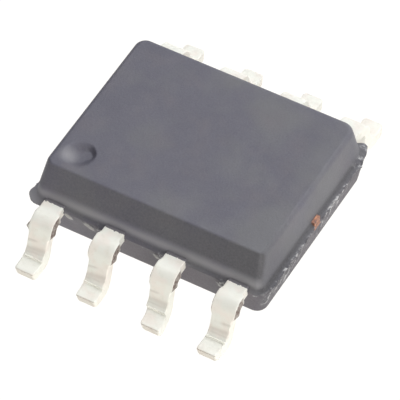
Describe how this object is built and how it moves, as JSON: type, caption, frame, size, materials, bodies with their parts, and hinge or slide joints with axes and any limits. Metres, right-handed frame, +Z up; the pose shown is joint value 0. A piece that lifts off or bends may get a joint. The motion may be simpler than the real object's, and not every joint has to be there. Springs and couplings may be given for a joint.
{
  "type": "small-outline integrated circuit package",
  "caption": "Surface-mount chip: grey moulded body with a bevelled edge and a pin 1 dimple, and gull-wing leads along two sides.",
  "frame": {"origin": "on the seating plane of the solder feet, under the middle of the body", "axes": "+X along the lead rows, with pin 1 at -X on the -Y side; +Y across the rows towards pins 5 to 8; +Z up, away from the board"},
  "size_m": [0.005, 0.006, 0.0016],
  "materials": {
    "mould_compound": "fine matte moulded epoxy compound",
    "tin_plate": "satin matte tin plating",
    "copper": "bare cut copper alloy",
    "silver_epoxy": "dull silver-filled adhesive",
    "silicon": "smooth sawn silicon",
    "gold": "bright drawn wire"
  },
  "bodies": {
    "root": {"moulded_body": "mould_compound", "lead_1": "tin_plate", "lead_2": "tin_plate", "lead_3": "tin_plate", "lead_4": "tin_plate", "lead_5": "tin_plate", "lead_6": "tin_plate", "lead_7": "tin_plate", "lead_8": "tin_plate", "die_paddle": "copper", "die_attach": "silver_epoxy", "silicon_die": "silicon", "bond_wire_1": "gold", "bond_wire_2": "gold", "bond_wire_3": "gold", "bond_wire_4": "gold", "bond_wire_5": "gold", "bond_wire_6": "gold", "bond_wire_7": "gold", "bond_wire_8": "gold"}
  },
  "joints": []
}
